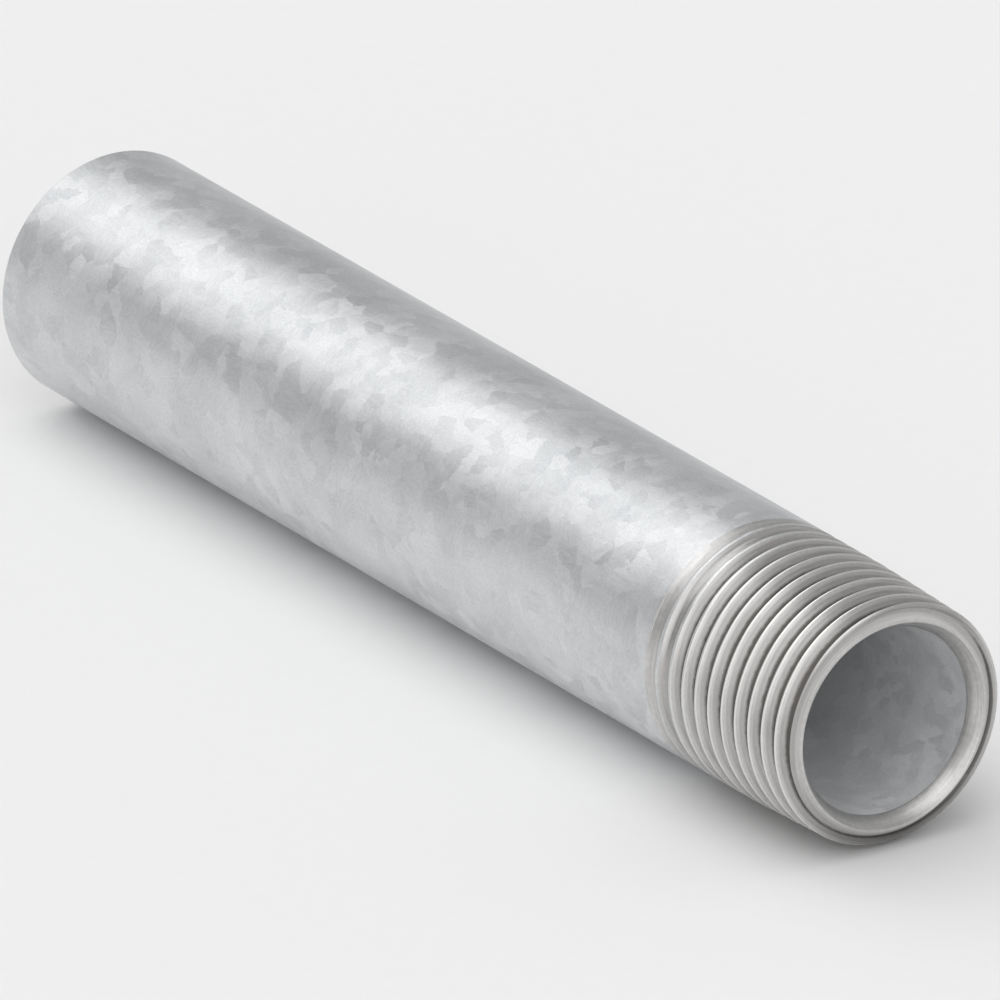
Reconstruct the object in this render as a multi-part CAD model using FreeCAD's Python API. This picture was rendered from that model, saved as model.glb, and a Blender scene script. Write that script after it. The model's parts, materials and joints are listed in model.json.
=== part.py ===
import FreeCAD, Part
import math
import os
from FreeCAD import Vector

# A 1/2 inch pipe nipple, 4-1/2 inches long: a short length of steel pipe with a tapered pipe thread
# cut on one end and the other end left plain. It is a single piece of metal, so it is one solid.
#
# Units are millimetres. The origin is the centre of the threaded end's face. The pipe lies along X
# with its plain end at -X, and +Z is up. The shape is turned about Z first, with z running back from
# the threaded face into the pipe, and is laid along X at the end.

inch = 25.4

# The pipe: 1/2 inch standard weight
overall_length = 4.5 * inch
outside_diameter = 0.840 * inch
wall = 0.109 * inch

# The thread: American standard taper pipe thread, right-handed
threads_per_inch = 14
taper_on_diameter = 1 / 16
flank_angle = 30  # degrees from the radial line to each flank
truncation_in_pitches = 0.055  # taken off the sharp crest and off the sharp root
vanish_threads = 3.47  # shallow threads that the lead of the die leaves behind the full ones
crest_rub = 0.02  # how far the die rubs down the uncut crests, where they start
thread_start_angle = 140  # degrees round the axis to where the thread runs out of the end face

# The ends
thread_chamfer = 0.4  # 45 degrees, outside, where the die starts
mouth_land = 0.25  # left between the reamed mouth and the thread's root, on the threaded face
reamer_angle = 30  # degrees from the axis to the reamer's cone
plain_chamfer = 0.4  # 45 degrees, outside
plain_deburr = 0.3  # 45 degrees, inside

# Pipe sizes that follow
body_radius = outside_diameter / 2
bore_radius = body_radius - wall

# Thread sizes that follow. The pitch diameter at the end face and the length of the full threads
# are the standard's own formulas, in which 1.1 and 6.8 are counted in threads.
pitch = inch / threads_per_inch
cone_slope = taper_on_diameter / 2
flank_slope = math.tan(math.radians(flank_angle))
sharp_height = pitch / 2 / flank_slope
thread_height = sharp_height - 2 * truncation_in_pitches * pitch
end_pitch_radius = (outside_diameter - (0.05 * outside_diameter / inch + 1.1) * pitch) / 2
end_crest_radius = end_pitch_radius + thread_height / 2
end_root_radius = end_pitch_radius - thread_height / 2
full_thread_length = (0.80 * outside_diameter / inch + 6.8) * pitch
thread_length = full_thread_length + vanish_threads * pitch
crest_cone_length = (body_radius - crest_rub - end_crest_radius) / cone_slope

# The reamed mouth stops short of the thread's root
mouth_radius = end_root_radius - mouth_land
ream_length = (mouth_radius - bore_radius) / math.tan(math.radians(reamer_angle))

# How far the cutting shapes run past the metal, so that every cut is a clean one
air = pitch
crest_overlap = 0.02 * pitch
cone_overrun = 0.25 * pitch
barrel_start = thread_length + cone_overrun


def turned(outline):
    """The solid that an outline of (radius, z) corners sweeps about the Z axis, seam underneath."""
    corners = [Vector(-radius, 0, z) for radius, z in outline]
    face = Part.Face(Part.makePolygon(corners + corners[:1]))
    return face.revolve(Vector(0, 0, 0), Vector(0, 0, 1), 360)


def pipe_blank():
    """The pipe before threading: bored, chamfered, and brought down to the height of the crests.

    The full threads' crests lie on the thread's cone. Where that cone comes out of the pipe, the
    crests are the pipe's own skin, rubbed down a little, as far as the clean round barrel.
    """
    return turned([
        (mouth_radius, 0),
        (end_crest_radius - thread_chamfer, 0),
        (end_crest_radius + thread_chamfer * cone_slope, thread_chamfer),
        (body_radius - crest_rub, crest_cone_length),
        (body_radius, barrel_start),
        (body_radius, overall_length - plain_chamfer),
        (body_radius - plain_chamfer, overall_length),
        (bore_radius + plain_deburr, overall_length),
        (bore_radius, overall_length - plain_deburr),
        (bore_radius, ream_length),
    ])


def groove_section(z, pitch_radius):
    """The V of the thread, truncated at the root, open past the crests with straight sides."""
    root = pitch_radius - thread_height / 2
    top = pitch_radius + thread_height / 2 + crest_overlap
    half_root = pitch / 4 - thread_height / 2 * flank_slope
    half_top = half_root + (top - root) * flank_slope
    one_side = [(root, half_root), (top, half_top), (top + air, half_top)]
    corners = [Vector(radius, 0, z - half) for radius, half in one_side]
    corners += [Vector(radius, 0, z + half) for radius, half in reversed(one_side)]
    return Part.makePolygon(corners + corners[:1])


def thread_groove():
    """The V carried along the tapered helix, from ahead of the end face to past the last thread."""
    start = -air
    start_radius = end_pitch_radius + start * cone_slope
    cone_angle = math.degrees(math.atan(cone_slope))
    helix = Part.makeLongHelix(pitch, thread_length + 2 * air, start_radius, cone_angle)
    helix.translate(Vector(0, 0, start))
    sweep = Part.BRepOffsetAPI.MakePipeShell(Part.Wire(helix.Edges))
    sweep.setFrenetMode(True)
    sweep.add(groove_section(start, start_radius))
    sweep.build()
    sweep.makeSolid()
    groove = sweep.shape()
    groove.rotate(Vector(0, 0, 0), Vector(0, 0, 1), thread_start_angle)
    return groove


def uncut_core():
    """What the die never reaches: the cone of its lead, which rises through the body's surface."""
    root_at_lead = end_root_radius + full_thread_length * cone_slope
    lead_slope = (body_radius - root_at_lead) / (thread_length - full_thread_length)
    cone_start = full_thread_length - pitch
    clear_radius = body_radius + 3 * air
    clear_end = thread_length + 3 * air
    return turned([
        (0, cone_start),
        (root_at_lead - pitch * lead_slope, cone_start),
        (body_radius + cone_overrun * lead_slope, barrel_start),
        (clear_radius, barrel_start),
        (clear_radius, clear_end),
        (0, clear_end),
    ])


def pipe_nipple():
    """The blank with the groove cut out of it, laid along X with the threaded face at +X."""
    nipple = pipe_blank().cut(thread_groove().cut(uncut_core()))
    nipple.rotate(Vector(0, 0, 0), Vector(0, 1, 0), -90)
    return nipple


os.makedirs("parts", exist_ok=True)
nipple = pipe_nipple()
nipple.exportStep("parts/pipe_nipple.step")
box = nipple.optimalBoundingBox(False)
print(f"pipe_nipple: {len(nipple.Solids)} solid, valid {nipple.isValid()}, {nipple.Volume:.1f} mm3")
print(f"box X {box.XMin:.3f} to {box.XMax:.3f}, Y {box.YLength:.3f} wide, Z {box.ZLength:.3f} high")
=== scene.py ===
import json
import math

import bpy
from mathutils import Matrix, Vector


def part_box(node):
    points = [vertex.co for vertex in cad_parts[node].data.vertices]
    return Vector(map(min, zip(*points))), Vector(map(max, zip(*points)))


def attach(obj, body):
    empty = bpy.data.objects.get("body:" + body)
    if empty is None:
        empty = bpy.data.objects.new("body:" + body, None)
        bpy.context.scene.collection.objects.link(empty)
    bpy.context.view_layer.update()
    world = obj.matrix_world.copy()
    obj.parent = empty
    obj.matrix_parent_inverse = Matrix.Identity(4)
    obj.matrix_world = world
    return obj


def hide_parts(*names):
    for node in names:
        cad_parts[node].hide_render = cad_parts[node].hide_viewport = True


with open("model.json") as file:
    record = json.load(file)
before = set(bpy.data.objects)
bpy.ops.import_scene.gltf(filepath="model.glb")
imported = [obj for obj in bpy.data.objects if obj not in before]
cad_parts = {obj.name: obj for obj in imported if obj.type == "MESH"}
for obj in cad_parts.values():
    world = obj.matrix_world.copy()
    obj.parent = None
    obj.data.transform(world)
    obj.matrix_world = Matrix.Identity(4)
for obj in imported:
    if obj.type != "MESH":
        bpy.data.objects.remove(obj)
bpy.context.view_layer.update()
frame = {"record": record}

mm = 0.001
inch = 25.4 * mm
pipeLow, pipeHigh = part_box("pipe_nipple")
mounts = {mount["name"]: mount for mount in frame["record"]["mounts"]}
scene = bpy.context.scene
print("frame loaded, pipe box", [round(v / mm, 2) for v in pipeHigh - pipeLow])


class Value:
    # one shader value, so that node maths can be written as sums
    def __init__(self, finish, socket):
        self.finish = finish
        self.socket = socket

    def maths(self, operation, *inputs):
        return self.finish.node("ShaderNodeMath", {"operation": operation}, dict(enumerate(inputs)))

    def __add__(self, other):
        return self.maths("ADD", self, other)

    def __radd__(self, other):
        return self.maths("ADD", other, self)

    def __sub__(self, other):
        return self.maths("SUBTRACT", self, other)

    def __rsub__(self, other):
        return self.maths("SUBTRACT", other, self)

    def __mul__(self, other):
        return self.maths("MULTIPLY", self, other)

    def __rmul__(self, other):
        return self.maths("MULTIPLY", other, self)


class Finish:
    # a material's nodes, ending in one Principled shader
    def __init__(self, name, **constants):
        self.material = bpy.data.materials.new(name)
        self.material.use_nodes = True
        self.tree = self.material.node_tree
        self.shader = self.tree.nodes["Principled BSDF"]
        for socket, value in constants.items():
            self.shader.inputs[socket.replace("_", " ")].default_value = value

    def node(self, kind, settings=None, inputs=None, output=0):
        made = self.tree.nodes.new(kind)
        for key, value in (settings or {}).items():
            setattr(made, key, value)
        for key, value in (inputs or {}).items():
            self.join(value, made.inputs[key])
        return Value(self, made.outputs[output])

    def join(self, value, socket):
        if isinstance(value, Value):
            self.tree.links.new(value.socket, socket)
        else:
            socket.default_value = value

    def feed(self, **inputs):
        for socket, value in inputs.items():
            self.join(value, self.shader.inputs[socket.replace("_", " ")])

    def vector(self, operation, inputs, output=0):
        return self.node("ShaderNodeVectorMath", {"operation": operation}, inputs, output)

    def place(self):
        # where the surface is, in millimetres
        spot = self.node("ShaderNodeTexCoord", output="Object")
        return self.vector("SCALE", {0: spot, "Scale": 1 / mm})

    def stretched(self, place, scale):
        return self.vector("MULTIPLY", {0: place, 1: scale})

    def added(self, place, offset, amount):
        return self.vector("MULTIPLY_ADD", {0: offset, 1: (amount,) * 3, 2: place})

    def along(self, place, axis):
        return self.node("ShaderNodeSeparateXYZ", inputs={0: place}, output=axis)

    def noise(self, place, scale, detail=3.0, roughness=0.5, output=0):
        inputs = {"Vector": place, "Scale": scale, "Detail": detail, "Roughness": roughness}
        return self.node("ShaderNodeTexNoise", inputs=inputs, output=output)

    def spread(self, value, low=0.3, high=0.7, newHigh=1.0):
        # value from low to high becomes 0 to newHigh, eased and held at both ends
        inputs = {"Value": value, "From Min": low, "From Max": high, "To Min": 0.0, "To Max": newHigh}
        return self.node("ShaderNodeMapRange", {"interpolation_type": "SMOOTHSTEP"}, inputs)

    def mixed(self, share, first, second):
        return self.node("ShaderNodeMix", {"data_type": "RGBA"}, {0: share, 6: first, 7: second}, 2)

    def bump(self, height, distance, facing=None):
        inputs = {"Height": height, "Distance": distance, "Strength": 1.0}
        if facing:
            inputs["Normal"] = facing
        return self.node("ShaderNodeBump", inputs=inputs)


threadedPipe = {
    "columns": 288,  # steps round the pipe
    "threadsPerInch": 14,
    "taperOnDiameter": 1 / 16,
    "flankAngle": 30,
    "truncation": 0.055,  # of a pitch, off each sharp crest and root
    "endRule": (0.05, 1.1),  # pitches from the pipe's to the pitch diameter: for each inch, and besides
    "lengthRule": (0.80, 6.8),  # full threads: for each inch of diameter, and besides
    "vanishThreads": 3.47,
    "crestRub": 0.02 * mm,  # off the skin left between the last threads
    "rubRunOut": 0.25,  # of a pitch, past the thread, where the rub has died away
    "startAngle": 140,
    "threadChamfer": 0.4 * mm,
    "mouthLand": 0.25 * mm,
    "reamerAngle": 30,
    "plainChamfer": 0.4 * mm,
    "plainDeburr": 0.3 * mm,
    "cornerCut": 0.03 * mm,  # how far from a corner its rounding starts
    "mostOfSide": 0.4,  # and the share of a short side that it may take
    "sharpTurn": 12,  # degrees, the least turn that counts as a corner
    "ringStep": 8 * mm,  # between rings on the barrel and in the bore
    "leastStep": 0.002 * mm,  # between corners of the thread's outline
    "straightWithin": 1e-8,  # metres, for a corner that can go
    "touchWithin": 1e-9,  # metres, for a cut that only grazes the skin
    "sideWeight": 100,  # how far the large faces lead the shading
    "endDepth": 0.12,  # what the ends count as in the thread's depth: neither crest nor the root's oil and painted shade
    "alongMap": {  # where each run starts on the bake map
        "thread": 0.03, "barrel": 0.35, "plainChamfer": 0.69, "plainFace": 0.71,
        "deburr": 0.74, "bore": 0.75, "ream": 0.95, "mouthFace": 0.98,
    },
}
bare, zinc, lining = 0, 1, 2  # material slots: cut steel, galvanised skin, galvanised bore


def threadSizes(choice):
    # every length and radius of the outline, from the pipe's own size and the thread's proportions
    body = mounts["plain_end"]["dims"]["r_mm"] * mm
    bore = mounts["bore"]["dims"]["r_mm"] * mm
    outside = 2 * body
    pitch = inch / choice["threadsPerInch"]
    slope = choice["taperOnDiameter"] / 2
    flank = math.tan(math.radians(choice["flankAngle"]))
    height = pitch / 2 / flank - 2 * choice["truncation"] * pitch
    perInch, besides = choice["endRule"]
    pitchRadius = (outside - (perInch * outside / inch + besides) * pitch) / 2
    crest = pitchRadius + height / 2
    root = pitchRadius - height / 2
    perInch, besides = choice["lengthRule"]
    fullThread = (perInch * outside / inch + besides) * pitch
    thread = fullThread + choice["vanishThreads"] * pitch
    mouth = root - choice["mouthLand"]
    return {
        "length": -pipeLow.x,
        "body": body,
        "bore": bore,
        "pitch": pitch,
        "slope": slope,
        "flank": flank,
        "height": height,
        "crest": crest,
        "root": root,
        "halfRoot": pitch / 4 - height / 2 * flank,
        "fullThread": fullThread,
        "thread": thread,
        "barrelStart": thread + pitch * choice["rubRunOut"],
        "crestCone": (body - choice["crestRub"] - crest) / slope,
        "mouth": mouth,
        "ream": (mouth - bore) / math.tan(math.radians(choice["reamerAngle"])),
    }


def lineThrough(corners):
    # the radius along a run of straight lines, as a function of the distance from the threaded face
    def radiusAt(z):
        for (z0, r0), (z1, r1) in zip(corners, corners[1:]):
            if z <= z1:
                break
        return r0 + (r1 - r0) * (z - z0) / (z1 - z0)
    return radiusAt


def withCrossings(places, one, other):
    # the places, and the ones between them where two straight-sided outlines cross
    added = []
    for a, b in zip(places, places[1:]):
        gapA, gapB = one(a) - other(a), one(b) - other(b)
        if gapA * gapB < 0:
            added.append(a + (b - a) * gapA / (gapA - gapB))
    return sorted(places + added)


def offLine(a, b, c):
    # how far corner b is from the straight line between a and c
    across = (b[0] - a[0]) * (c[1] - a[1]) - (b[1] - a[1]) * (c[0] - a[0])
    return abs(across) / math.dist(a, c)


def threadOutline(choice, size, angle):
    # corners (z, radius, material) of the threaded length on one side of the pipe
    pitch, slope, flank, end = size["pitch"], size["slope"], size["flank"], size["barrelStart"]
    chamfer = choice["threadChamfer"]
    skin = [(0, size["crest"] - chamfer), (chamfer, size["crest"] + chamfer * slope)]
    skin += [(size["crestCone"], size["body"] - choice["crestRub"]), (end, size["body"])]
    skinAt = lineThrough(skin)
    rootAtLead = size["root"] + size["fullThread"] * slope
    leadAt = lineThrough([(size["fullThread"], rootAtLead), (size["thread"], size["body"])])
    first = pitch * ((angle - choice["startAngle"]) / 360 % 1)
    turns = [first + k * pitch for k in range(-2, int(size["thread"] / pitch) + 3)]

    def grooveAt(z):
        sides = [(c, max(0, abs(z - c) - size["halfRoot"])) for c in turns if abs(z - c) < pitch]
        return min(size["root"] + c * slope + side / flank for c, side in sides)

    def cutAt(z):
        return max(grooveAt(z), leadAt(z))

    meeting = pitch / 2 + flank * pitch * slope / 2  # where two neighbouring grooves would meet
    places = [z for z, radius in skin]
    for c in turns:
        places += [c - size["halfRoot"], c + size["halfRoot"], c + meeting]
    places = sorted(z for z in places if 0 <= z <= end)
    places = withCrossings(places, grooveAt, leadAt)
    places = withCrossings(places, cutAt, skinAt)
    corners = []
    for z in places:
        corner = (z, min(skinAt(z), cutAt(z)))
        if corners and z - corners[-1][0] < choice["leastStep"]:
            continue
        if len(corners) > 1 and offLine(corners[-2], corners[-1], corner) < choice["straightWithin"]:
            corners.pop()
        corners.append(corner)
    made = []
    for a, b in zip(corners, corners[1:]):
        middle = (a[0] + b[0]) / 2
        uncut = skinAt(middle) - cutAt(middle) < choice["touchWithin"]
        made.append((*a, zinc if uncut and middle > size["crestCone"] else bare))
    return made


def pipeSection(choice, size, angle):
    # the whole outline at one angle, (z, radius, v, material), from the middle of the threaded face
    # outwards, back along the outside, and forwards again through the bore. v runs along the bake map.
    length, body, bore, start = size["length"], size["body"], size["bore"], size["barrelStart"]
    ringMiddle = size["mouth"] + choice["mouthLand"] / 2  # inside the root of the first groove
    v = choice["alongMap"]
    section = [(0, ringMiddle, 0.0, bare)]
    for z, radius, material in threadOutline(choice, size, angle):
        section.append((z, radius, v["thread"] + z / start * (v["barrel"] - v["thread"]), material))
    section += [
        (start, body, v["barrel"], zinc),
        (length - choice["plainChamfer"], body, v["plainChamfer"], bare),
        (length, body - choice["plainChamfer"], v["plainFace"], bare),
        (length, bore + choice["plainDeburr"], v["deburr"], bare),
        (length - choice["plainDeburr"], bore, v["bore"], lining),
        (size["ream"], bore, v["ream"], bare),
        (0, size["mouth"], v["mouthFace"], bare),
        (0, ringMiddle, 1.0, bare),
    ]
    return ringed(choice, softened(choice, section))


def between(a, b, share, material):
    return tuple(p + (q - p) * share for p, q in zip(a[:3], b[:3])) + (material,)


def softened(choice, section):
    # each corner becomes two, a little way along its sides
    made = [section[0]]
    for before, corner, after in zip(section, section[1:], section[2:]):
        headingIn = math.atan2(corner[1] - before[1], corner[0] - before[0])
        headingOut = math.atan2(after[1] - corner[1], after[0] - corner[0])
        turn = abs((math.degrees(headingOut - headingIn) + 180) % 360 - 180)
        if turn < choice["sharpTurn"]:
            made.append(corner)
            continue
        for side, material in ((before, bare), (after, corner[3])):
            long = math.dist(side[:2], corner[:2])
            cut = min(choice["cornerCut"], choice["mostOfSide"] * long)
            made.append(between(corner, side, cut / long, material))
    return made + [section[-1]]


def ringed(choice, section):
    # rings on the long straight runs
    made = []
    for a, b in zip(section, section[1:]):
        steps = max(1, round(math.dist(a[:2], b[:2]) / choice["ringStep"]))
        made += [between(a, b, step / steps, a[3]) for step in range(steps)]
    return made + [section[-1]]


def stitch(left, right, nearness):
    # faces between two neighbouring sections, as lists of (side, place on it), and each one's material
    i, j = 0, 0
    faces = []
    while i < len(left) - 1 or j < len(right) - 1:
        leftDone, rightDone = i == len(left) - 1, j == len(right) - 1
        if not leftDone and not rightDone:
            here = math.dist(left[i][:2], right[j][:2])
            there = math.dist(left[i + 1][:2], right[j + 1][:2])
            if here < nearness and there < nearness:
                faces.append(([(0, i), (0, i + 1), (1, j + 1), (1, j)], left[i][3]))
                i, j = i + 1, j + 1
                continue
            alongLeft = math.dist(left[i + 1][:2], right[j][:2])
            alongRight = math.dist(left[i][:2], right[j + 1][:2])
        if rightDone or not leftDone and alongLeft <= alongRight:
            faces.append(([(0, i), (0, i + 1), (1, j)], left[i][3]))
            i += 1
        else:
            faces.append(([(0, i), (1, j + 1), (1, j)], right[j][3]))
            j += 1
    return faces


def makeThreadedPipe(choice, materials):
    size = threadSizes(choice)
    columns = choice["columns"]
    angles = [180 + 360 * column / columns for column in range(columns)]  # seam underneath
    sections = [pipeSection(choice, size, angle) for angle in angles]
    points, starts, depths = [], [], []
    for angle, section in zip(angles, sections):
        starts.append(len(points))
        sideways, upwards = math.sin(math.radians(angle)), math.cos(math.radians(angle))
        for z, radius, v, material in section[:-1]:
            points.append((-z, radius * sideways, radius * upwards))
            crest = min(size["crest"] + z * size["slope"], size["body"])
            vanish = max(0, z - size["fullThread"]) / (size["thread"] - size["fullThread"])
            depth = max(vanish * choice["endDepth"], (crest - radius) / size["height"])
            depths.append(depth if 0 < v < choice["alongMap"]["barrel"] else choice["endDepth"])
    nearness = 3 * size["pitch"] / columns  # three times what a thread moves in one step
    faces, uvs, slots = [], [], []
    for column in range(columns):
        pair = (column, (column + 1) % columns)
        for corners, material in stitch(sections[pair[0]], sections[pair[1]], nearness):
            spots = []
            for side, place in corners:
                section = sections[pair[side]]
                spots.append(starts[pair[side]] + place % (len(section) - 1))
                uvs.append(((column + side) / columns, section[place][2]))
            faces.append(spots)
            slots.append(material)
    mesh = bpy.data.meshes.new("threadedPipe")
    mesh.from_pydata(points, [], faces)
    mesh.uv_layers.new(name="OFBake").uv.foreach_set("vector", [x for uv in uvs for x in uv])
    mesh.polygons.foreach_set("material_index", slots)
    mesh.attributes.new("threadDepth", "FLOAT", "POINT").data.foreach_set("value", depths)
    for material in materials:
        mesh.materials.append(material)
    mesh.shade_smooth()
    mesh.flip_normals()
    pipe = bpy.data.objects.new("threadedPipe", mesh)
    scene.collection.objects.link(pipe)
    pipe.modifiers.new("flatSides", "WEIGHTED_NORMAL").weight = choice["sideWeight"]
    print("threaded pipe:", len(points), "points,", len(faces), "faces")
    return pipe


galvanisedSkin = {
    "metal": 0.92,
    "brightZinc": (0.80, 0.81, 0.82, 1),
    "dullZinc": (0.50, 0.515, 0.53, 1),
    "roughness": (0.30, 0.50),
    "crystals": 0.62,  # a millimetre, and so are the other counts
    "crystalTilt": 0.08,
    "raggedness": (1.6, 0.7),  # bends in the crystals' edges, and how far they go in millimetres
    "feather": (0.9, 5.0, 5.0),  # streaks inside each crystal
    "featherAxis": (0.6, 0.7, 0.4),
    "featherTurn": 6.28,  # radians, the most that one crystal's streaks turn
    "frost": (7.0, 0.7),  # fine grains, and how rough they are
    "clouds": 0.11,
    "drawnOut": (0.04, 1.0, 1.0),  # how the pipe's drawing stretches its lines
    "drawnLines": 1.8,
    "brightShares": (0.30, 0.25, 0.20, 0.25),  # crystal, feather, frost, cloud
    "roughShares": (0.4, 0.3, 0.3),  # crystal, drawn lines, feather
    "reliefShares": (0.6, 0.5, 0.8),  # frost, feather, drawn lines
    "relief": 0.010 * mm,
}
galvanisedLining = galvanisedSkin | {
    "metal": 0.35,
    "brightZinc": (0.84, 0.845, 0.85, 1),
    "dullZinc": (0.62, 0.63, 0.64, 1),
    "roughness": (0.48, 0.66),
    "crystals": 0.8,
}


def galvanisedFinish(name, choice):
    # frosted zinc crystals, each a little tilted and feathered its own way, drawn out along the pipe
    finish = Finish(name, Metallic=choice["metal"])
    place = finish.place()
    bends, reach = choice["raggedness"]
    bent = finish.added(place, finish.noise(place, bends, output=1), reach)
    cells = {"Vector": bent, "Scale": choice["crystals"]}
    crystal = finish.node("ShaderNodeTexVoronoi", inputs=cells, output=1)
    tone = finish.node("ShaderNodeSeparateColor", inputs={0: crystal})
    spin = {"Vector": place, "Axis": choice["featherAxis"], "Angle": choice["featherTurn"] * tone}
    spun = finish.node("ShaderNodeVectorRotate", inputs=spin)
    feather = finish.noise(finish.stretched(spun, choice["feather"]), 1.0, roughness=0.6)
    grains, harshness = choice["frost"]
    frost = finish.noise(place, grains, roughness=harshness)
    cloud = finish.noise(place, choice["clouds"])
    drawn = finish.noise(finish.stretched(place, choice["drawnOut"]), choice["drawnLines"])
    ofCrystal, ofFeather, ofFrost, ofCloud = choice["brightShares"]
    bright = ofCrystal * tone + ofFeather * finish.spread(feather) + ofFrost * finish.spread(frost)
    bright = bright + ofCloud * finish.spread(cloud)
    colour = finish.mixed(bright, choice["dullZinc"], choice["brightZinc"])
    ofCrystal, ofDrawn, ofFeather = choice["roughShares"]
    low, high = choice["roughness"]
    uneven = ofCrystal * tone + ofDrawn * finish.spread(drawn) + ofFeather * feather
    rough = low + (high - low) * uneven
    lean = finish.vector("SUBTRACT", {0: crystal, 1: (0.5,) * 3})
    facing = finish.node("ShaderNodeNewGeometry", output="Normal")
    tilted = finish.vector("NORMALIZE", {0: finish.added(facing, lean, choice["crystalTilt"])})
    ofFrost, ofFeather, ofDrawn = choice["reliefShares"]
    height = ofFrost * frost + ofFeather * feather + ofDrawn * drawn
    normal = finish.bump(height, choice["relief"], tilted)
    finish.feed(Base_Color=colour, Roughness=rough, Normal=normal)
    return finish.material


cutSteel = {
    "brightSteel": (0.72, 0.71, 0.695, 1),
    "darkSteel": (0.46, 0.455, 0.45, 1),
    "rubbedSteel": (0.80, 0.79, 0.775, 1),
    # oil in the thread's roots, darker than oil alone: painted shade in the grooves
    "rootOilAndPaintedShade": (0.085, 0.078, 0.072, 1),
    "roughness": (0.24, 0.42),
    "toolLines": 7.0,  # a millimetre, and so are the other counts
    "feed": 0.7,  # how far a tool line moves outwards for each millimetre along the pipe
    "lineBreaks": 0.15,
    "tears": 2.2,
    "clouds": 0.25,
    "brightShares": (0.5, 0.25, 0.25),  # tool lines, tears, clouds
    "roughShares": (0.55, 0.45),  # tool lines, tears
    "tearRelief": 0.4,  # against the tool lines' 1
    "relief": 0.008 * mm,
    "rubbedCrest": (0.02, 0.11),  # from this depth to that one, of the thread's, the rubbing dies away
    "rubbedGloss": 0.06,  # off the roughness
    # how far the oil and painted shade wander from the groove's depth
    "oilAndShadeWander": 0.16,
    "oilAndShadeFilm": (0.16, 0.30, 0.30),  # starts and is full at these depths, and how dark: oil and painted shade down the groove's flanks
    "oilAndShadePool": (0.42, 0.62, 0.64),  # the same, added in the root: more oil and painted shade
}


def cutSteelFinish(choice):
    # bare metal with the lines that the die and the cutter leave, rubbed crests, and oil in the roots
    # made darker as painted shade in the grooves
    finish = Finish("cutSteel", Metallic=1.0)
    place = finish.place()
    radius = finish.vector("LENGTH", {0: finish.stretched(place, (0.0, 1.0, 1.0))}, "Value")
    lay = radius + choice["feed"] * finish.along(place, 0)
    slow = finish.stretched(place, (choice["lineBreaks"],) * 3)
    track = {0: lay * choice["toolLines"], 1: finish.along(slow, 1), 2: finish.along(slow, 2)}
    marks = finish.noise(finish.node("ShaderNodeCombineXYZ", inputs=track), 1.0, roughness=0.6)
    torn = finish.noise(place, choice["tears"], 4.0, 0.6)
    cloud = finish.noise(place, choice["clouds"])
    ofMarks, ofTorn, ofCloud = choice["brightShares"]
    bright = ofMarks * finish.spread(marks) + ofTorn * finish.spread(torn, 0.35) + ofCloud * cloud
    steel = finish.mixed(bright, choice["darkSteel"], choice["brightSteel"])
    depth = finish.node("ShaderNodeAttribute", {"attribute_name": "threadDepth"}, output="Fac")
    wandering = depth + choice["oilAndShadeWander"] * (torn - 0.5)
    # darker towards each groove's root: oil, and painted shade where the groove is deep
    oilAndPaintedShade = finish.spread(wandering, *choice["oilAndShadeFilm"]) + finish.spread(wandering, *choice["oilAndShadePool"])
    rubbed = 1 - finish.spread(depth, *choice["rubbedCrest"])
    colour = finish.mixed(rubbed, steel, choice["rubbedSteel"])
    colour = finish.mixed(oilAndPaintedShade, colour, choice["rootOilAndPaintedShade"])
    ofMarks, ofTorn = choice["roughShares"]
    low, high = choice["roughness"]
    rough = low + (high - low) * (ofMarks * marks + ofTorn * torn) - choice["rubbedGloss"] * rubbed
    normal = finish.bump(marks + choice["tearRelief"] * torn, choice["relief"])
    finish.feed(Base_Color=colour, Roughness=rough, Normal=normal)
    return finish.material


materials = [  # in the order of the slots
    cutSteelFinish(cutSteel),
    galvanisedFinish("galvanisedSkin", galvanisedSkin),
    galvanisedFinish("galvanisedLining", galvanisedLining),
]
print("finishes:", ", ".join(material.name for material in materials))
pipe = makeThreadedPipe(threadedPipe, materials)
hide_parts("pipe_nipple")
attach(pipe, "root")


studio = {
    "floorRadius": 3.2,
    "floorSides": 96,
    "floorColours": ((0.90, 0.90, 0.90, 1), (0.92, 0.92, 0.92, 1)),
    "floorGrain": 0.6,  # a millimetre
    "floorRoughness": 0.85,
    "skyLight": 0.50,
    "lamps": {  # direction to the lamp, how wide it looks in degrees, strength
        "farLamp": ((-1.0, -0.15, 0.84), 46, 0.38),
        "frontLamp": ((1.0, -0.55, 0.5), 74, 0.80),
        "topLamp": ((-0.1, -0.3, 1.0), 64, 0.90),
    },
}


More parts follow.
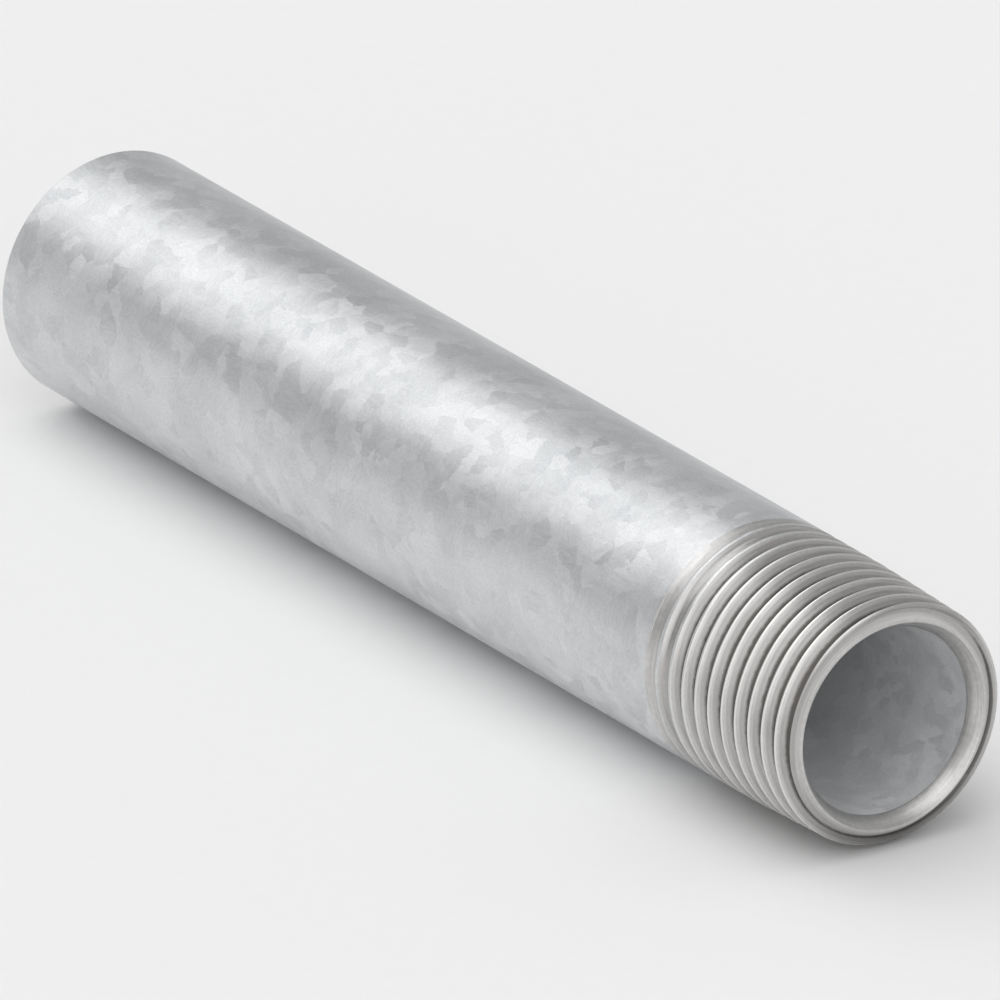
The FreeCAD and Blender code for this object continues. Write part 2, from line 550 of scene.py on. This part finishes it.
def makeFloor(choice):
    finish = Finish("paleFloor", Metallic=0.0, Roughness=choice["floorRoughness"])
    grain = finish.noise(finish.place(), choice["floorGrain"], 4.0)
    finish.feed(Base_Color=finish.mixed(grain, *choice["floorColours"]))
    sides, radius = choice["floorSides"], choice["floorRadius"]
    rim = [2 * math.pi * side / sides for side in range(sides)]
    points = [(radius * math.cos(angle), radius * math.sin(angle), 0) for angle in rim]
    mesh = bpy.data.meshes.new("studioFloor")
    mesh.from_pydata(points, [], [list(range(sides))])
    mesh.materials.append(finish.material)
    floor = bpy.data.objects.new("studioFloor", mesh)
    floor.location = (pipeLow.x / 2, 0, pipeLow.z)  # the pipe lies on it
    scene.collection.objects.link(floor)


def makeLights(choice):
    world = bpy.data.worlds.new("studioLight")
    world.use_nodes = True
    sky = world.node_tree.nodes["Background"]
    sky.inputs["Color"].default_value = (1, 1, 1, 1)
    sky.inputs["Strength"].default_value = choice["skyLight"]
    scene.world = world
    for name, (heading, width, strength) in choice["lamps"].items():
        light = bpy.data.lights.new(name, "SUN")
        light.angle = math.radians(width)
        light.energy = strength
        lamp = bpy.data.objects.new(name, light)
        lamp.rotation_euler = Vector(heading).to_track_quat("Z", "Y").to_euler()
        scene.collection.objects.link(lamp)


viewpoint = {
    "azimuth": 56.466,
    "elevation": 22.543,
    "lens": 1140,
    "sensor": 36,
    "farthest": 20,
    "frameWidth": 80.5 * mm,  # what the picture spans at the pipe
    "aim": (0.40 * mm, -0.35 * mm),  # right of the pipe's middle and below it
}


def makeCamera(choice, target):
    turn, lift = math.radians(choice["azimuth"]), math.radians(choice["elevation"])
    back = Vector((math.sin(turn) * math.cos(lift), -math.cos(turn) * math.cos(lift), math.sin(lift)))
    lens = bpy.data.cameras.new("camera")
    lens.lens = choice["lens"]
    lens.sensor_width = choice["sensor"]
    lens.clip_end = choice["farthest"]
    camera = bpy.data.objects.new("camera", lens)
    turned = back.to_track_quat("Z", "Y")
    aim = target + turned @ Vector((*choice["aim"], 0))
    camera.location = aim + back * (choice["frameWidth"] * choice["lens"] / choice["sensor"])
    camera.rotation_euler = turned.to_euler()
    scene.collection.objects.link(camera)
    scene.camera = camera


makeFloor(studio)
makeLights(studio)
makeCamera(viewpoint, Vector((pipeLow.x / 2, 0, 0)))
scene.view_settings.view_transform = "Standard"
print("floor, lights and camera placed")
